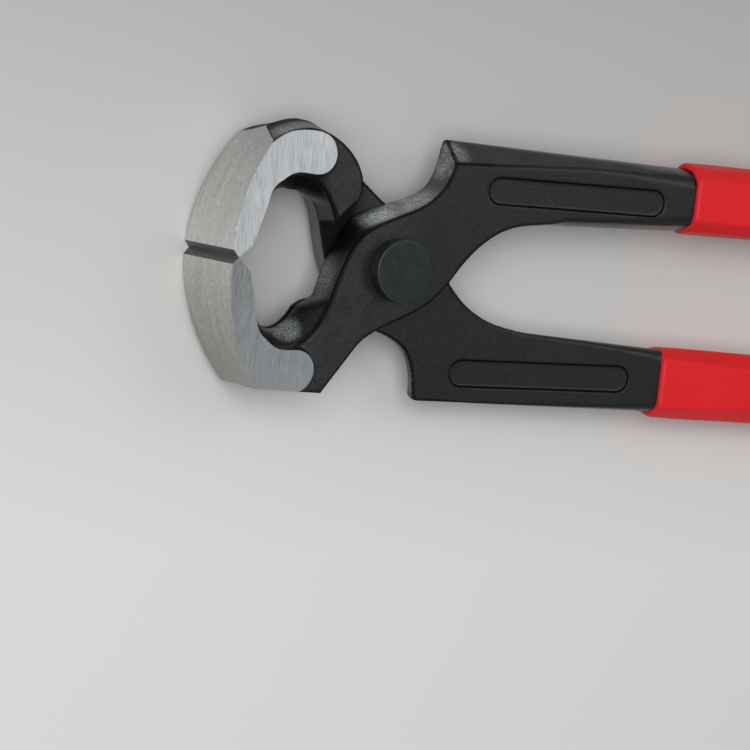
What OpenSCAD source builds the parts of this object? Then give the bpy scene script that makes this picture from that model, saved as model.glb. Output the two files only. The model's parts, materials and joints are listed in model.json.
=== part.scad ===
// End cutting nippers: two forged levers crossing in a lap joint, one rivet, two dipped grips.
// Lengths in millimetres. The rivet axis is Z, the jaws point to -X and the handles to +X.

/* [Head] */
// radius of the ground end face, measured from the rivet axis
end_r = 44.2; // [41:0.1:48]
// half height of the head over the two handle shoulders
head_half = 30.4; // [29:0.1:33]
// half width of the jaws along the cutting edges
jaw_half_w = 12.5; // [11.5:0.1:14]
// fall of each ground jaw side for every length away from the cutting edge
side_fall_share = 0.126; // [0.10:0.002:0.13]
// gap left between the closed cutting edges
edge_gap = 0.2; // [0.1:0.02:0.4]
// distance of the cutting edge behind the end face
edge_setback = 1.3; // [0.8:0.1:2]
// height of the outer bevel of one cutting edge
edge_bevel_h = 1.6; // [1:0.1:2.4]
// radius of the rounded end of a ground side face
pad_r = 5; // [4.6:0.1:5.4]

/* [Joint] */
// thickness of one lever at the lap joint
lap_t = 8.6; // [8:0.1:8.9]
// gap between the two lap faces
lap_gap = 0.1; // [0.06:0.02:0.2]
// radius of the recess in which the other lever turns
step_r = 18.9; // [18.2:0.1:19.4]
// radius of the rivet shank
shank_r = 5; // [4:0.1:6]
// radius of the rivet heads
rivet_head_r = 7.2; // [6.6:0.1:8]
// bevel on the rim of a rivet head
rivet_bevel = 0.35; // [0.2:0.05:0.6]
// radial running clearance of the shank in the rear lever
run_clear = 0.05; // [0.02:0.01:0.1]

/* [Handles] */
// overall length of the tool
overall_len = 210; // [195:1:225]
// distance from the rivet axis to the start of the grips
grip_start = 80; // [74:0.5:86]
// distance from the middle line to the inner edge of a handle at the grip
handle_in = 15.2; // [14.6:0.1:15.8]
// height of a handle at the grip
handle_h = 13.8; // [13.2:0.1:14.4]
// how much farther from the middle line a handle lies at its end than at the grip start
handle_splay = 0.5; // [0:0.1:1]
// how far a handle reaches past the lap plane at the grip
handle_drop = 2; // [1.5:0.1:2.5]
// height of the lap side face of a handle above the lap plane at the grip
handle_top = 8.2; // [7.8:0.1:8.6]
// lean of a handle's sides towards its lap side face, in degrees from upright
lap_lean = 20; // [16:1:24]
// lean of a handle's sides towards its far side face, in degrees from upright
far_lean = 38; // [32:1:42]
// height of the upright band where a handle is widest
wide_band = 1.6; // [1.2:0.1:2]
// depth of the bare panel pressed into each handle face
panel_depth = 0.5; // [0.3:0.05:0.8]
// height of the panels
panel_h = 6.2; // [5:0.1:6.6]
// length of the panels
panel_len = 48.8; // [44:0.2:50]

/* [Grips] */
// wall of the dipped grips
grip_wall = 1.3; // [1:0.1:1.6]
// thickness of the plastic past the end of a tang
grip_tip = 4; // [3:0.2:5]
// corner radius of a grip end seen from above
grip_round = 6; // [5:0.2:6.6]
// corner radius of a grip end seen from the side
grip_side_round = 3.6; // [3:0.1:4]

/* [Hidden] */
$fn = 96;

// overrun of cutting shapes
over = end_r / 40;
// points on each curved stretch of an outline
curve_n = 9;
// points on each rounded corner of a grip
corner_n = 6;
// height of the lap plane above the face the tool rests on
lap_z = jaw_half_w;
// far end of the handles and of the tangs inside them
handle_end = overall_len - end_r;
tang_end = handle_end - grip_tip;

// curves of the lever outline, as shares of end radius and half height
mouth_shares = [[-0.894, -0.095], [-0.838, -0.306], [-0.789, -0.621], [-0.645, -0.641]];
throat_shares = [[-0.645, -0.641], [-0.506, -0.662], [-0.413, -0.457], [-0.378, -0.293]];
cheek_shares = [[-0.378, -0.293], [-0.316, 0.03], [-0.286, 0.207], [-0.129, 0.336]];
shoulder_shares = [[-0.129, 0.336], [0.016, 0.455], [0.245, 0.486], [0.283, 0.855]];
neck_shares = [[-0.186, -0.612], [-0.123, -0.482], [0.022, -0.416], [0.12, -0.336]];
belly_shares = [[0.12, -0.336], [0.236, -0.24], [0.296, -0.151], [0.371, 0.013]];
crotch_shares = [[0.371, 0.013], [0.58, 0.435], [0.76, 0.405], [0.9, 0.43]];
back_shares = [[-0.249, -0.592], [-0.249, -0.811], [-0.466, -1.015], [-0.622, -1.026]];
dome_shares = [[-0.622, -1.026], [-0.69, -1.021], [-0.757, -0.972], [-0.792, -0.888]];
// single corners of the lever outline
tip_share = [0.303, 1];
heel_share = [-0.357, -0.967];
inside_share = [-0.18, -0.3];
// brow of the rear jaw: where its flat top ends, and the slope down to the end face
brow_share = [-0.633, -0.967];
brow_slope_share = 0.37;
// centre of the rounded end of a ground side face
pad_share = [-0.548, -0.816];
// round edge of the side face on the far side of a jaw: centre, radius and level where it starts
rim_share = [-0.577, -0.395];
rim_r_share = 0.398;
rim_level_share = -0.862;
// line where the outer bevel of a handle leaves its lap side face: at the shoulder, halfway, at the grip
bevel_shares = [[0.27, 0.836], [1.13, 0.895], [1.81, 0.885]];
// the same for the inner bevel: at the crotch, halfway, at the grip
rebate_shares = [[0.6, 0.339], [1.018, 0.49], [1.81, 0.536]];
// slope of those bevels against the lap side face
bevel_slope = 53;
rebate_slope = 62;
// centre and radius of the scarf on the rear shoulder, and its start above the lap face
scarf_share = [-0.1, 0.9];
scarf_r_share = 0.385;
scarf_wide_share = 0.5;
scarf_z_share = 0.3;
// levels of the panels on the two faces of a handle
panel_top_share = 0.657;
panel_low_share = 0.775;
// start of the panels
panel_start_share = 0.498;
// where the far side of a handle begins to drop past the lap plane
drop_share = 0.6;
// height and thickness of a tang at its end
tang_h_share = 0.86;
tang_t_share = 0.8;

function hp(s) = [s[0] * end_r, s[1] * head_half];
function bez(p, t) = pow(1 - t, 3) * p[0] + 3 * pow(1 - t, 2) * t * p[1]
    + 3 * (1 - t) * t * t * p[2] + pow(t, 3) * p[3];
function curve(s) = [for (i = [0 : curve_n]) bez([for (q = s) hp(q)], i / curve_n)];
function inner(s) = [for (i = [1 : curve_n - 1]) bez([for (q = s) hp(q)], i / curve_n)];
function back_to_front(p) = [for (i = [len(p) - 1 : -1 : 0]) p[i]];

// tip of the cutting edge, and a point on its outer bevel past the end face
edge_tip = [-(end_r - edge_setback), -edge_gap / 2];
bevel_out = [-end_r - over, -edge_gap / 2 - edge_bevel_h * (edge_setback + over) / edge_setback];
heel = hp(heel_share);
corner = [bevel_out[0], heel[1]];
brow = hp(brow_share);
brow_out = [bevel_out[0], brow[1] + brow_slope_share * (brow[0] - bevel_out[0])];
// middle of the handle bar at the grip and at the end, across and up
bar_y = handle_in + handle_h / 2;
bar_z = (handle_top - handle_drop) / 2;
bar_t = handle_top + handle_drop;

// everything left of the ground end face
module off_end() {
    difference() {
        translate([-2 * end_r, -2 * end_r]) square([1.5 * end_r, 4 * end_r]);
        circle(r = end_r);
    }
}

// outline of a lever on its lap side, out to the grip start; the jaw ends in a flat foot or in a brow
module lap_outline(foot) {
    difference() {
        polygon(concat(
            [edge_tip],
            curve(mouth_shares),
            inner(throat_shares),
            curve(cheek_shares),
            inner(shoulder_shares),
            [hp(shoulder_shares[3]), hp(tip_share)],
            [[grip_start, handle_in + handle_h], [grip_start, handle_in]],
            back_to_front(curve(crotch_shares)),
            back_to_front(inner(belly_shares)),
            back_to_front(curve(neck_shares)),
            foot ? [heel, corner, bevel_out] : [heel, brow, brow_out, bevel_out]
        ));
        off_end();
    }
}

// outline of a jaw on the side away from the lap, set back round the other lever; a foot cuts it flat
module far_outline(foot) {
    difference() {
        polygon(concat(
            [edge_tip],
            curve(mouth_shares),
            inner(throat_shares),
            [hp(throat_shares[3]), hp(inside_share)],
            curve(back_shares),
            inner(dome_shares),
            [hp(dome_shares[3]), [bevel_out[0], hp(dome_shares[3])[1]], bevel_out]
        ));
        circle(r = step_r);
        off_end();
        if (foot) translate([-2 * end_r, heel[1] - end_r]) square([4 * end_r, end_r]);
    }
}

// area of a ground side face: everything up to its rounded end
module pad_area() {
    c = hp(pad_share);
    translate(c) circle(r = pad_r);
    translate([-end_r - over, c[1] - pad_r]) square([end_r + over + c[0], pad_r - c[1] + over]);
}

// the same on the far side, with its outer rim rounded
module far_pad_area() {
    intersection() {
        pad_area();
        union() {
            translate(hp(rim_share)) circle(r = rim_r_share * end_r);
            translate([-end_r - over, rim_level_share * head_half]) square([2 * end_r, 2 * head_half]);
        }
    }
}

// tapering width of the jaws, widest at the cutting edges
module jaw_taper() {
    fall = side_fall_share * 2 * head_half;
    rotate([90, 0, 90]) translate([0, 0, -2 * end_r]) linear_extrude(height = 2 * end_r)
        polygon([
            [0, jaw_half_w],
            [0, -jaw_half_w],
            [-2 * head_half, fall - jaw_half_w],
            [-2 * head_half, jaw_half_w - fall]
        ]);
}

// full width head of a jaw, ground on both sides and on the end
module ground_jaw(foot) {
    intersection() {
        jaw_taper();
        union() {
            linear_extrude(height = jaw_half_w) intersection() {
                lap_outline(foot);
                pad_area();
            }
            translate([0, 0, -jaw_half_w]) linear_extrude(height = jaw_half_w) intersection() {
                far_outline(foot);
                far_pad_area();
            }
        }
    }
}

// side view of a lever from the joint to a little past the grip start
module side_view() {
    rotate([90, 0, 0]) translate([0, 0, -2 * head_half]) linear_extrude(height = 4 * head_half)
        polygon([
            [-end_r, lap_gap / 2],
            [drop_share * end_r, lap_gap / 2],
            [grip_start + over, -handle_drop],
            [grip_start + over, handle_top],
            [drop_share * end_r, lap_t],
            [-end_r, lap_t]
        ]);
}

// points of a bar's outline between two stations, with the far corners rounded
function bar_outline(x0, c0, a0, x1, c1, a1, r) = concat(
    [[x0, c0 - a0]],
    [for (i = [0 : corner_n]) [x1 - r + r * sin(90 * i / corner_n), c1 - a1 + r - r * cos(90 * i / corner_n)]],
    [for (i = [0 : corner_n]) [x1 - r + r * cos(90 * i / corner_n), c1 + a1 - r + r * sin(90 * i / corner_n)]],
    [[x0, c0 + a0]]
);

// bar from x0 to x1 that narrows to its end, widest at the lap plane, its sides leaning in to both faces
module bar(x0, x1, grow, ry, rz) {
    y0 = bar_y;
    y1 = bar_y + handle_splay;
    z0 = bar_z;
    z1 = bar_z * tang_t_share;
    a0 = handle_h / 2 + grow;
    a1 = handle_h / 2 * tang_h_share + grow;
    b0 = bar_t / 2 + grow;
    b1 = bar_t / 2 * tang_t_share + grow;
    span = 4 * head_half;
    up = wide_band / 2;
    intersection() {
        translate([0, 0, -span / 2]) linear_extrude(height = span)
            polygon(bar_outline(x0, y0, a0, x1, y1, a1, ry));
        rotate([90, 0, 0]) translate([0, 0, -span / 2]) linear_extrude(height = span)
            polygon(bar_outline(x0, z0, b0, x1, z1, b1, rz));
        leaning_side(x0, [y0 + a0, up], x1, [y1 + a1, up], lap_lean);
        leaning_side(x0, [y0 - a0, up], x1, [y1 - a1, up], 180 - lap_lean);
        leaning_side(x0, [y0 + a0, -up], x1, [y1 + a1, -up], -far_lean);
        leaning_side(x0, [y0 - a0, -up], x1, [y1 - a1, -up], 180 + far_lean);
    }
}

// everything behind a leaning plane through p0 at x0 and p1 at x1, facing out at an angle from +Y
module leaning_side(x0, p0, x1, p1, facing) {
    span = 4 * head_half;
    out = [cos(facing), sin(facing)];
    rotate([facing, 0, 0]) translate([0, 0, -span / 2]) linear_extrude(height = span)
        polygon([[x0, -span], [x1, -span], [x1, p1 * out], [x0, p0 * out]]);
}

// everything above a sloping plane through the line from p to q in the lap side face
module above_plane(p, q, z, slope, side) {
    d = q - p;
    translate([p[0], p[1], z]) rotate([0, 0, atan2(d[1], d[0])]) rotate([-side * slope, 0, 0])
        translate([0, side > 0 ? -over : over - end_r, 0]) cube([norm(d) + over, end_r, end_r]);
}

// bevels along a handle on its lap side
module handle_bevels() {
    above_plane(hp(bevel_shares[0]) - [over, 0], hp(bevel_shares[1]), lap_t, bevel_slope, 1);
    above_plane(hp(bevel_shares[1]), hp(bevel_shares[2]), lap_t, bevel_slope, 1);
    above_plane(hp(rebate_shares[0]), hp(rebate_shares[1]), lap_t, rebate_slope, -1);
    above_plane(hp(rebate_shares[1]), hp(rebate_shares[2]), lap_t, rebate_slope, -1);
}

// bare panel with round ends
module panel(y) {
    x0 = panel_start_share * end_r + panel_h / 2;
    translate([x0, y]) circle(r = panel_h / 2);
    translate([x0, y - panel_h / 2]) square([panel_len - panel_h, panel_h]);
    translate([x0 + panel_len - panel_h, y]) circle(r = panel_h / 2);
}

// one panel on each face, cut parallel to the sloping faces
module panels() {
    reach = grip_start + over - drop_share * end_r;
    down = atan((lap_t - handle_top) / reach);
    drop = atan((handle_drop + lap_gap / 2) / reach);
    translate([drop_share * end_r, 0, lap_t]) rotate([0, down, 0]) translate([-drop_share * end_r, 0, -panel_depth])
        linear_extrude(height = lap_t) panel(panel_top_share * head_half);
    translate([drop_share * end_r, 0, lap_gap / 2]) rotate([0, drop, 0])
        translate([-drop_share * end_r, 0, panel_depth - lap_t])
        linear_extrude(height = lap_t) panel(panel_low_share * head_half);
}

// scarf on the lap side of a shoulder
module scarf() {
    z0 = scarf_z_share * lap_t;
    translate([scarf_share[0] * end_r, scarf_share[1] * head_half, z0])
        cylinder(h = lap_t - z0 + over, r1 = scarf_r_share * end_r, r2 = scarf_wide_share * end_r);
}

// one forged lever, lap side up, with a bore of the given radius
module lever(bore_r, foot) {
    difference() {
        union() {
            difference() {
                intersection() {
                    translate([0, 0, -jaw_half_w]) linear_extrude(height = 2 * jaw_half_w) lap_outline(foot);
                    side_view();
                }
                handle_bevels();
                panels();
            }
            translate([0, 0, -lap_t]) linear_extrude(height = lap_t + lap_gap) far_outline(foot);
            ground_jaw(foot);
            bar(grip_start - over, tang_end, -over / 2, grip_round / 2, grip_side_round / 2);
        }
        translate([0, 0, -over]) cylinder(h = lap_t + 2 * over, r = bore_r);
    }
}

module front_lever() {
    color("#2b2c2e") translate([0, 0, lap_z]) lever(shank_r, true);
}

module rear_lever() {
    color("#2f3032") translate([0, 0, lap_z]) rotate([180, 0, 0]) difference() {
        lever(shank_r + run_clear, false);
        scarf();
    }
}

// rivet with two flat heads, the rear one a little clear of the turning lever
module rivet() {
    h = jaw_half_w;
    seat = lap_t + lap_gap / 2;
    color("#3a3b3d") translate([0, 0, lap_z]) rotate_extrude()
        polygon([
            [0, -h],
            [rivet_head_r - rivet_bevel, -h],
            [rivet_head_r, rivet_bevel - h],
            [rivet_head_r, -seat],
            [shank_r, -seat],
            [shank_r, lap_t],
            [rivet_head_r, lap_t],
            [rivet_head_r, h - rivet_bevel],
            [rivet_head_r - rivet_bevel, h],
            [0, h]
        ]);
}

// dipped grip round one tang
module grip() {
    difference() {
        bar(grip_start, handle_end, grip_wall, grip_round, grip_side_round);
        lever(shank_r, true);
    }
}

module front_grip() {
    color("#d2232a") translate([0, 0, lap_z]) grip();
}

module rear_grip() {
    color("#d2232a") translate([0, 0, lap_z]) rotate([180, 0, 0]) grip();
}

front_lever();
rear_lever();
rivet();
front_grip();
rear_grip();
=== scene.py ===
"""End cutting nippers: two black forged levers with ground jaws, one rivet and two dipped grips."""

import json
import math

import bpy
import numpy as np
from mathutils import Matrix, Vector


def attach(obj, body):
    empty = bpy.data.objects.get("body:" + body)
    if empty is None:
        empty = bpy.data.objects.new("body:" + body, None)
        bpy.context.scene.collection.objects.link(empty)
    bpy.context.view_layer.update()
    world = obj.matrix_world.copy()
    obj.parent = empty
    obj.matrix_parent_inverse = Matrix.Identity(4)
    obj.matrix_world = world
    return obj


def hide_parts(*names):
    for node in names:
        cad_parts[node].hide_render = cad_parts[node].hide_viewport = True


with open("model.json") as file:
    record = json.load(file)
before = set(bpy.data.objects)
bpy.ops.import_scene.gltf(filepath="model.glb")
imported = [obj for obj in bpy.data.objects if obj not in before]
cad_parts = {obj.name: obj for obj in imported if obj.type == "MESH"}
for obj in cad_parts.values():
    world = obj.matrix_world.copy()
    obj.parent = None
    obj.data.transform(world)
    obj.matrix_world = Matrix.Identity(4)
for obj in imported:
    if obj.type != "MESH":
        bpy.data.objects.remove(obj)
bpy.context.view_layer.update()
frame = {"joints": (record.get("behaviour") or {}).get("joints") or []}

MM = 0.001
# height of the lap plane, where the two levers meet, above the face the tool rests on
LAP_Z = frame["joints"][0]["pos_m"][2] / MM

# the head, in mm: the levers' own frame has the rivet axis at the origin and the lap plane at z = 0
END_R = 44.2  # radius of the ground end round the rivet axis
JAW_HALF_W = 12.5  # half width of a jaw at its cutting edge
SIDE_FALL = 0.126  # how much the ground sides fall per mm away from the cutting edge
EDGE_TIP = (-42.9, -0.02)  # the cutting edge
EDGE_BEVEL = (-1.3, -1.6)  # run of its outer bevel
MOUTH_BEVEL = (3.4, -2.8)  # run of its bevel in the mouth
FOOT_Y = -29.4  # the ground foot
TONGUE_XY, TONGUE_R = (-24.1, -24.8), 4.9  # the round end of a ground side
# where the tongue of a ground side starts to open into the mouth, where it opens faster, and how fast
TONGUE_OPEN_X, MOUTH_OPEN_X = -28.0, -32.0
TONGUE_OPENING, MOUTH_OPENING = 0.12, 1.5
# the wall under a ground side: how much it spreads per mm, and the rounding of its corner and its root
PAD_SPREAD, PAD_CORNER_R, PAD_ROOT_R = 0.5, 1.0, 0.5
# the ground end counts before the first of these places, and the mouth's bevel before the second; a face
# that doesn't count has this value
JAW_X, MOUTH_BEVEL_X, NO_FACE = -10, -30, -99

# grinding stock: its thickness on the sides, and how far the outlines run past the end face, the foot and
# the cutting edge
STOCK = 0.8
STOCK_X, STOCK_FOOT_Y = -47.0, -31.1
STOCK_EDGE = [(STOCK_X, 1.2), (-38.0, 1.2)]
# where the outlines reach the line of the foot, and where the far one ends inside the turned step
LAP_FOOT_X, FAR_FOOT_X, FAR_END = -17.0, -29.0, (-8.0, -9.1)

# the joint: thickness of a lap half, gap between the two, radius of the turned step, bore and rivet
LAP_T, LAP_GAP, STEP_R = 8.6, 0.1, 18.9
BORE_R = 5.06
RIVET_HEAD_R, RIVET_SHANK_R, RIVET_EDGE = 7.2, 4.95, 0.35

# the handles and grips: where the handle's faces start to slope, and where its grip starts and ends
DROP_X, GRIP_X, END_X = 26.5, 80.0, 165.8
# how far a forging runs into its grip, and how far its outline and grid do
TANG_IN, TANG_STOCK = 3, 4
# a handle's inner side and height, how far the grips part, and its faces over and under the lap plane
HANDLE_IN, HANDLE_H, HANDLE_SPLAY = 14.9, 14.6, 0.5
HANDLE_TOP, HANDLE_DROP = 8.2, 2.0
GRIP_WALL = 1.3
# the bare panels: start, length and width, and on each side of a handle the middle's start and slope
PANEL_X, PANEL_LEN, PANEL_H = 22.3, 49.0, 6.2
PANEL_LAP_Y, PANEL_FAR_Y = (20.1, 0.014), (23.6, -0.03)
# depth of a panel, and where its edge starts outside its line and ends inside it
PANEL_DEPTH, PANEL_RIM = 0.2, (0.3, -0.4)

# outline of a lever, as cubic curves from point to point
MOUTH = [(-39.5, -2.9), (-37.0, -9.3), (-34.9, -18.9), (-28.5, -19.5)]
THROAT = [(-28.5, -19.5), (-22.4, -20.1), (-18.3, -13.9), (-16.7, -8.9)]
CHEEK = [(-16.7, -8.9), (-14.0, 0.9), (-12.6, 6.3), (-5.7, 10.2)]
SHOULDER = [(-5.7, 10.2), (0.7, 13.8), (10.8, 14.8), (12.5, 26.0)]
SHOULDER_TIP = [(12.5, 26.0), (13.0, 29.3), (13.0, 30.6), (14.3, 30.6)]
NECK = [(-8.2, -18.6), (-5.4, -14.7), (1.0, -12.6), (5.3, -10.2)]
BELLY = [(5.3, -10.2), (10.4, -7.3), (13.1, -4.6), (16.4, 0.4)]
CROTCH = [(16.4, 0.4), (25.6, 13.2), (33.6, 12.3), (39.8, 13.1)]
BACK = [(-11.0, -18.0), (-11.2, -23.5), (-17.5, -29.7), (-25.5, -30.0)]
BROW = [(-8.2, -18.6), (-10.0, -23.5), (-16.5, -29.8), (-25.5, -30.0)]
DOME = [(-25.5, -30.0), (-29.0, -30.0), (-33.3, -28.5), (-36.2, -25.55)]
LAP_DOME = [(-25.5, -30.0), (-29.2, -30.1), (-33.5, -28.9), (-36.3, -26.15)]

# forging draft: how much wider than its lap side face a lever is at the lap plane, along its length, and at
# the dome
FLARE_X = [-17, -13, -9, 2, 6, 10, 14, 19, 28, 42]
FLARE = [0.3, 0.6, 2.0, 1.5, 0.8, 0.0, 0.0, 1.2, 1.2, 0.3]
FLARE_LOW, FLARE_HIGH = 1.2, 6.4
DOME_X, DOME_DRAFT = [-33, -26], [0.95, 1.6]
LEAN, FAR_LEAN, CHEEK_LEAN = 0.03, 0.4, 0.16
# where the draft fades, from the place where it is nought to the place where it is full: the flare, which
# past the shoulder only the inner side of a handle has, and which the rear lever has only behind its neck;
# the dome; the back of the neck, which ends again before the rivet; and the lean of the rear cheek
FLARE_FADE_Y, FLARE_NECK_X, SHOULDER_X = (24, 21), (-8, 0), 10
DOME_FADE_X, DOME_FADE_Y = (-16, -22), (-22, -26)
BACK_FADE_X, BACK_FADE_Y, BACK_END_X = (-16, -13), (-9, -14), (0, -6)
CHEEK_FADE_X, CHEEK_FADE_Y = (-3, -9), (-17, -13)

# ridge that runs round the throat at the lap plane, the heights from that plane at which it starts and is
# full, and the lesser depth at which it starts below the front lever's lap plane, where it is undercut
SWELL, SWELL_HIGH, SWELL_LOW, SWELL_UNDER = 3.4, 7.4, 0.6, 4.2
# where the ridge starts and is full across the mouth, at two places along it, on each lever, and where it
# fades towards the foot and the cheek
SWELL_X = [-30, -24]
FRONT_SWELL_Y, REAR_SWELL_Y = ([-7, -7], [-14, -11]), ([-7, -13], [-14, -17.5])
SWELL_FOOT_Y, SWELL_CHEEK_X = (-25, -21), (-12.5, -15.5)

# lines where the long bevels leave a handle's lap side face, and their slopes
BEVEL_X, BEVEL_Y, BEVEL_SLOPE = [11.9, 50.0, 80.0], [25.4, 27.2, 26.9], math.radians(53)
REBATE_X, REBATE_Y = [12.0, 20.0, 26.5, 45.0, 80.0], [-60.0, 0.0, 10.3, 14.9, 16.9]
REBATE_SLOPE = math.radians(62)

# cone cut into the rear shoulder on its lap side
SCARF_XY, SCARF_R, SCARF_Z = (-4.4, 27.4), (17.0, 22.1), 2.6

# where bare specks of steel are heaped on the walls as painted glints, at the walls that catch the light:
# place, reach and share; and the shares of bare specks on other walls and on the flat faces
SPECKS_AND_GLINTS = [((-23.7, -17.4, 3.0), 5.0, 0.95), ((-15.0, -4.0, 2.0), 7.0, 0.32), ((-3.5, 11.0, 4.0), 6.5, 1.0),
         ((5.5, 14.5, 4.0), 7.5, 0.6), ((12.6, 26.0, 4.0), 6.5, 0.6), ((-30.0, -29.5, -6.0), 6.0, 0.4)]
BARED_WALL, BARED_FACE = 0.03, 0.022
# painted shade darkening the hollows, on the wall beside the lap faces and in the throat: place and
# reach
PAINTED_HOLLOW_SHADE = [((-11.2, 5.6, 2.5), 5.5), ((-25.0, -17.0, -5.0), 7.5)]

# rounding of forged edges along a lever, of its edges at the lap plane and, by distance from the middle, of
# the inner edges of the ground sides
EDGE_X, EDGE_R = [-20, -5, 20, 60, 80], [0.6, 0.35, 0.4, 0.6, 1.8]
UNDER_X, UNDER_R = [20, 34, 66, 80], [0.12, 0.35, 0.6, 1.6]
PAD_Y, PAD_R = [9, 15, 21, 25], [0.1, 2.4, 2.8, 0.4]
PAD_FADE_X, PAD_LEAST_R = (-29, -35), 0.1
# the least rounding of the long bevels, what the throat ridge adds to an edge, the hollow between the two
# halves of a lever, and the rounding of the scarf
BEVEL_R, SWELL_R, HALVES_R, SCARF_EDGE_R = 0.3, 0.4, 0.4, 0.6
# rounding of the turned step's edge, across the lever, and of the far face's edge, by distance from a place
# in the mouth, on each lever
STEP_EDGE_Y, FRONT_STEP_EDGE, REAR_STEP_EDGE = [-16, -11], [2.5, 2.5], [2.5, 0.6]
FAR_EDGE_XY, FAR_EDGE_REACH = (-27, -8), [11, 15]
FRONT_FAR_EDGE, REAR_FAR_EDGE = [4.2, 0.4], [0.8, 0.4]

# pitch of the grid on which a lever is worked out, at the head and along the handle, and its bounds
HEAD_GRID, HANDLE_GRID = 0.32, 0.8
GRID_X, GRID_Y, GRID_Z = -46, (-32.5, 31.5), (-14, 14)

# a lever's faces are numbered: forged, end, sides, the two bevels, foot; each takes one of four materials
END_FACE, BEVEL_FACES = 1, (3, 4)
FACE_MATERIAL = [0, 3, 1, 2, 2, 1]


def bezier(points, n=20):
    """Cubic curve from its first point to its last, which is left out, drawn towards the two between."""
    p, t = np.array(points, float), np.linspace(0, 1, n, endpoint=False)[:, None]
    return (1 - t) ** 3 * p[0] + 3 * (1 - t) ** 2 * t * p[1] + 3 * (1 - t) * t**2 * p[2] + t**3 * p[3]


def backwards(points):
    """The same curve run from its last point to its first."""
    return points[::-1]


def lap_outline(foot):
    """Closed outline of a lever on its lap side, with grinding stock past the end face, edge and foot."""
    dome = np.vstack([bezier(BROW), bezier(LAP_DOME), [LAP_DOME[3], (STOCK_X, LAP_DOME[3][1])]])
    jaw = [NECK[0], (LAP_FOOT_X, STOCK_FOOT_Y), (STOCK_X, STOCK_FOOT_Y)] if foot else dome
    tang_x = GRIP_X + TANG_STOCK
    tang = [SHOULDER_TIP[3], (tang_x, HANDLE_IN + HANDLE_H), (tang_x, HANDLE_IN)]
    return np.vstack([
        bezier(MOUTH), bezier(THROAT), bezier(CHEEK), bezier(SHOULDER), bezier(SHOULDER_TIP), tang,
        bezier(backwards(CROTCH)), bezier(backwards(BELLY)), bezier(backwards(NECK)), jaw, STOCK_EDGE,
    ])


def far_outline(foot):
    """Closed outline of a jaw on the side away from the lap, with the same grinding stock."""
    dome = np.vstack([bezier(DOME), [DOME[3], (STOCK_X, DOME[3][1])]])
    end = [BACK[3], (FAR_FOOT_X, STOCK_FOOT_Y), (STOCK_X, STOCK_FOOT_Y)] if foot else dome
    inner = [THROAT[3], FAR_END]
    return np.vstack([bezier(MOUTH), bezier(THROAT), inner, bezier(BACK), end, STOCK_EDGE])


def outline_distance(outline, x, y):
    """Distance of every grid point to the closed outline, negative inside: the least distance to its
    straight stretches, and inside where a ray crosses it an odd number of times."""
    a, b = outline.astype(np.float32), np.roll(outline, -1, 0).astype(np.float32)
    px, py = np.meshgrid(x, y, indexing="ij")
    nearest, crossings = np.full(px.shape, np.inf, np.float32), np.zeros(px.shape, int)
    for k in np.array_split(np.arange(len(a)), 12):
        ax, ay, bx, by = (v[:, None, None] for v in (*a[k].T, *b[k].T))
        dx, dy = bx - ax, by - ay
        t = np.clip(((px - ax) * dx + (py - ay) * dy) / (dx**2 + dy**2 + 1e-12), 0, 1)
        nearest = np.minimum(nearest, np.hypot(px - ax - t * dx, py - ay - t * dy).min(0))
        span = (ay <= py) != (by <= py)
        crossings += (span & (px < ax + (py - ay) * dx / np.where(dy == 0, 1, dy))).sum(0)
    return np.where(crossings % 2 == 1, -nearest, nearest).astype(np.float32)


def round_corner(a, b, r):
    """Where two fields overlap, with their common edge rounded to radius r."""
    return np.minimum(np.maximum(a, b), -r) + np.hypot(np.maximum(a + r, 0), np.maximum(b + r, 0))


def fillet(a, b, r):
    """Two fields joined, with a hollow of radius r where they meet."""
    return -round_corner(-a, -b, r)


def smooth_step(low, high, v):
    """Nought below low, one above high and a smooth rise between; with low above high it falls instead."""
    t = np.clip((v - low) / (high - low), 0, 1)
    return t * t * (3 - 2 * t)


def panel_edge(x, y, start, rise):
    """Distance from the edge of a bare panel, negative inside: a bar with round ends that rises or falls
    along the handle."""
    half = PANEL_H / 2
    along = np.clip(x, PANEL_X + half, PANEL_X + PANEL_LEN - half)
    return np.hypot(x - along, y - start - rise * (x - PANEL_X)) - half


def panel_relief(x, y, panel):
    """Depth of the bare panel: flat inside its sloping edge."""
    return PANEL_DEPTH * smooth_step(*PANEL_RIM, panel_edge(x, y, *panel))


def ground_fields(x, y, z, foot):
    """The ground faces of a jaw as fields: the round end, the two falling sides, the two bevels of the
    cutting edge, and the flat foot."""
    sides = (np.abs(z) + SIDE_FALL * np.abs(y) - JAW_HALF_W) / math.hypot(1, SIDE_FALL)
    length = math.hypot(*EDGE_BEVEL)
    outer = (EDGE_BEVEL[1] * (x - EDGE_TIP[0]) - EDGE_BEVEL[0] * (y - EDGE_TIP[1])) / length
    length = math.hypot(*MOUTH_BEVEL)
    inner = (-MOUTH_BEVEL[1] * (x - EDGE_TIP[0]) + MOUTH_BEVEL[0] * (y - EDGE_TIP[1])) / length
    end = np.where(x < JAW_X, np.hypot(x, y) - END_R, NO_FACE)
    inner = np.where(x < MOUTH_BEVEL_X, inner, NO_FACE)
    sole = (FOOT_Y - y) if foot else np.full_like(y, NO_FACE)
    return [end, sides, outer, inner, sole]


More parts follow.
